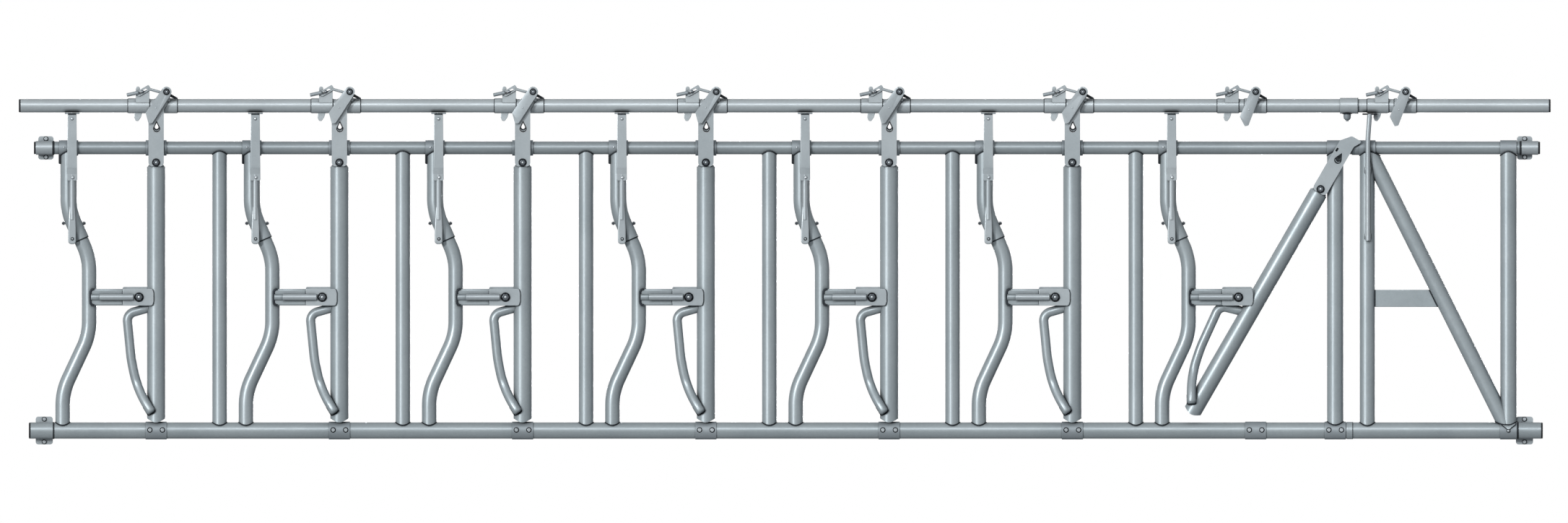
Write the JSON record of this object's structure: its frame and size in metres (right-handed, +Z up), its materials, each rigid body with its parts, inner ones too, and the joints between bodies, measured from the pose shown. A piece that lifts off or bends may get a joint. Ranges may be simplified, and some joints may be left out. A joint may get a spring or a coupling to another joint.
{
  "type": "self-locking cattle headlock panel",
  "caption": "Feed barrier panel of round steel tubes: bent neck tubes, pivoting bars with latch tongues, a turning control tube with drop latches, and a braced end.",
  "frame": {"origin": "centre of the back face of the lower left end clamp, the plane that meets the post", "axes": "+X along the panel to the right as seen from the front, +Y backwards through the clamps, +Z up"},
  "size_m": [5.0927, 0.1019, 1.1916],
  "materials": {
    "galvanised_tube": "hot-dip galvanised, satin",
    "zinc_plate": "zinc plated, satin"
  },
  "bodies": {
    "frame": {"top_rail": "galvanised_tube", "bottom_rail": "galvanised_tube", "end_post": "galvanised_tube", "brace_frame": "galvanised_tube", "straight_post_1": "galvanised_tube", "straight_post_2": "galvanised_tube", "straight_post_3": "galvanised_tube", "straight_post_4": "galvanised_tube", "straight_post_5": "galvanised_tube", "straight_post_6": "galvanised_tube", "neck_tube_1": "galvanised_tube", "neck_tube_2": "galvanised_tube", "neck_tube_3": "galvanised_tube", "neck_tube_4": "galvanised_tube", "neck_tube_5": "galvanised_tube", "neck_tube_6": "galvanised_tube", "neck_tube_7": "galvanised_tube", "strut_1": "zinc_plate", "strut_2": "zinc_plate", "strut_3": "zinc_plate", "strut_4": "zinc_plate", "strut_5": "zinc_plate", "strut_6": "zinc_plate", "strut_7": "zinc_plate", "end_clamp_lower_left": "zinc_plate", "end_clamp_lower_right": "zinc_plate", "end_clamp_upper_left": "zinc_plate", "end_clamp_upper_right": "zinc_plate"},
    "control": {"control_tube": "galvanised_tube", "tube_coupling": "galvanised_tube"},
    "bar_1": {"swing_tube_1": "galvanised_tube", "tongue_1": "zinc_plate"},
    "bar_2": {"swing_tube_2": "galvanised_tube", "tongue_2": "zinc_plate"},
    "bar_3": {"swing_tube_3": "galvanised_tube", "tongue_3": "zinc_plate"},
    "bar_4": {"swing_tube_4": "galvanised_tube", "tongue_4": "zinc_plate"},
    "bar_5": {"swing_tube_5": "galvanised_tube", "tongue_5": "zinc_plate"},
    "bar_6": {"swing_tube_6": "galvanised_tube", "tongue_6": "zinc_plate"},
    "bar_7": {"swing_tube_7": "galvanised_tube", "tongue_7": "zinc_plate"},
    "lever_1": {"latch_lever_1": "zinc_plate"},
    "selector_1": {"selector_1": "zinc_plate"},
    "lever_2": {"latch_lever_2": "zinc_plate"},
    "selector_2": {"selector_2": "zinc_plate"},
    "lever_3": {"latch_lever_3": "zinc_plate"},
    "selector_3": {"selector_3": "zinc_plate"},
    "lever_4": {"latch_lever_4": "zinc_plate"},
    "selector_4": {"selector_4": "zinc_plate"},
    "lever_5": {"latch_lever_5": "zinc_plate"},
    "selector_5": {"selector_5": "zinc_plate"},
    "lever_6": {"latch_lever_6": "zinc_plate"},
    "selector_6": {"selector_6": "zinc_plate"},
    "lever_7": {"latch_lever_7": "zinc_plate"},
    "selector_7": {"selector_7": "zinc_plate"},
    "lever_8": {"latch_lever_8": "zinc_plate"},
    "selector_8": {"selector_8": "zinc_plate"}
  },
  "joints": [
    {"name": "swing_1", "type": "hinge", "parent": "frame", "child": "bar_1", "pos_m": [0.3149, -0.038, 0.443], "axis": [0, 1, 0], "range_deg": [0, 21.5]},
    {"name": "swing_2", "type": "hinge", "parent": "frame", "child": "bar_2", "pos_m": [0.9241, -0.038, 0.443], "axis": [0, 1, 0], "range_deg": [0, 21.5]},
    {"name": "swing_3", "type": "hinge", "parent": "frame", "child": "bar_3", "pos_m": [1.5333, -0.038, 0.443], "axis": [0, 1, 0], "range_deg": [0, 21.5]},
    {"name": "swing_4", "type": "hinge", "parent": "frame", "child": "bar_4", "pos_m": [2.1425, -0.038, 0.443], "axis": [0, 1, 0], "range_deg": [0, 21.5]},
    {"name": "swing_5", "type": "hinge", "parent": "frame", "child": "bar_5", "pos_m": [2.7517, -0.038, 0.443], "axis": [0, 1, 0], "range_deg": [0, 21.5]},
    {"name": "swing_6", "type": "hinge", "parent": "frame", "child": "bar_6", "pos_m": [3.3609, -0.038, 0.443], "axis": [0, 1, 0], "range_deg": [0, 21.5]},
    {"name": "swing_7", "type": "hinge", "parent": "frame", "child": "bar_7", "pos_m": [3.9701, -0.038, 0.443], "axis": [0, 1, 0], "range_deg": [-30, 0]},
    {"name": "control_turn", "type": "hinge", "parent": "frame", "child": "control", "pos_m": [0, -0.038, 1.079], "axis": [1, 0, 0], "range_deg": [-20, 8]},
    {"name": "lever_1", "type": "hinge", "parent": "control", "child": "lever_1", "pos_m": [0.4063, -0.038, 1.1253], "axis": [0, 1, 0], "range_deg": [0, 35]},
    {"name": "lever_2", "type": "hinge", "parent": "control", "child": "lever_2", "pos_m": [1.0155, -0.038, 1.1253], "axis": [0, 1, 0], "range_deg": [0, 35]},
    {"name": "lever_3", "type": "hinge", "parent": "control", "child": "lever_3", "pos_m": [1.6247, -0.038, 1.1253], "axis": [0, 1, 0], "range_deg": [0, 35]},
    {"name": "lever_4", "type": "hinge", "parent": "control", "child": "lever_4", "pos_m": [2.2339, -0.038, 1.1253], "axis": [0, 1, 0], "range_deg": [0, 35]},
    {"name": "lever_5", "type": "hinge", "parent": "control", "child": "lever_5", "pos_m": [2.8431, -0.038, 1.1253], "axis": [0, 1, 0], "range_deg": [0, 35]},
    {"name": "lever_6", "type": "hinge", "parent": "control", "child": "lever_6", "pos_m": [3.4523, -0.038, 1.1253], "axis": [0, 1, 0], "range_deg": [0, 35]},
    {"name": "lever_7", "type": "hinge", "parent": "control", "child": "lever_7", "pos_m": [4.0275, -0.038, 1.1253], "axis": [0, 1, 0], "range_deg": [0, 35]},
    {"name": "lever_8", "type": "hinge", "parent": "control", "child": "lever_8", "pos_m": [4.5259, -0.038, 1.1253], "axis": [0, 1, 0], "range_deg": [0, 35]},
    {"name": "selector_1", "type": "hinge", "parent": "control", "child": "selector_1", "pos_m": [0.3269, -0.038, 1.1253], "axis": [0, 1, 0], "range_deg": [-35, 0]},
    {"name": "selector_2", "type": "hinge", "parent": "control", "child": "selector_2", "pos_m": [0.9361, -0.038, 1.1253], "axis": [0, 1, 0], "range_deg": [-35, 0]},
    {"name": "selector_3", "type": "hinge", "parent": "control", "child": "selector_3", "pos_m": [1.5453, -0.038, 1.1253], "axis": [0, 1, 0], "range_deg": [-35, 0]},
    {"name": "selector_4", "type": "hinge", "parent": "control", "child": "selector_4", "pos_m": [2.1545, -0.038, 1.1253], "axis": [0, 1, 0], "range_deg": [-35, 0]},
    {"name": "selector_5", "type": "hinge", "parent": "control", "child": "selector_5", "pos_m": [2.7637, -0.038, 1.1253], "axis": [0, 1, 0], "range_deg": [-35, 0]},
    {"name": "selector_6", "type": "hinge", "parent": "control", "child": "selector_6", "pos_m": [3.3729, -0.038, 1.1253], "axis": [0, 1, 0], "range_deg": [-35, 0]},
    {"name": "selector_7", "type": "hinge", "parent": "control", "child": "selector_7", "pos_m": [3.9481, -0.038, 1.1253], "axis": [0, 1, 0], "range_deg": [-35, 0]},
    {"name": "selector_8", "type": "hinge", "parent": "control", "child": "selector_8", "pos_m": [4.4465, -0.038, 1.1253], "axis": [0, 1, 0], "range_deg": [-35, 0]}
  ]
}
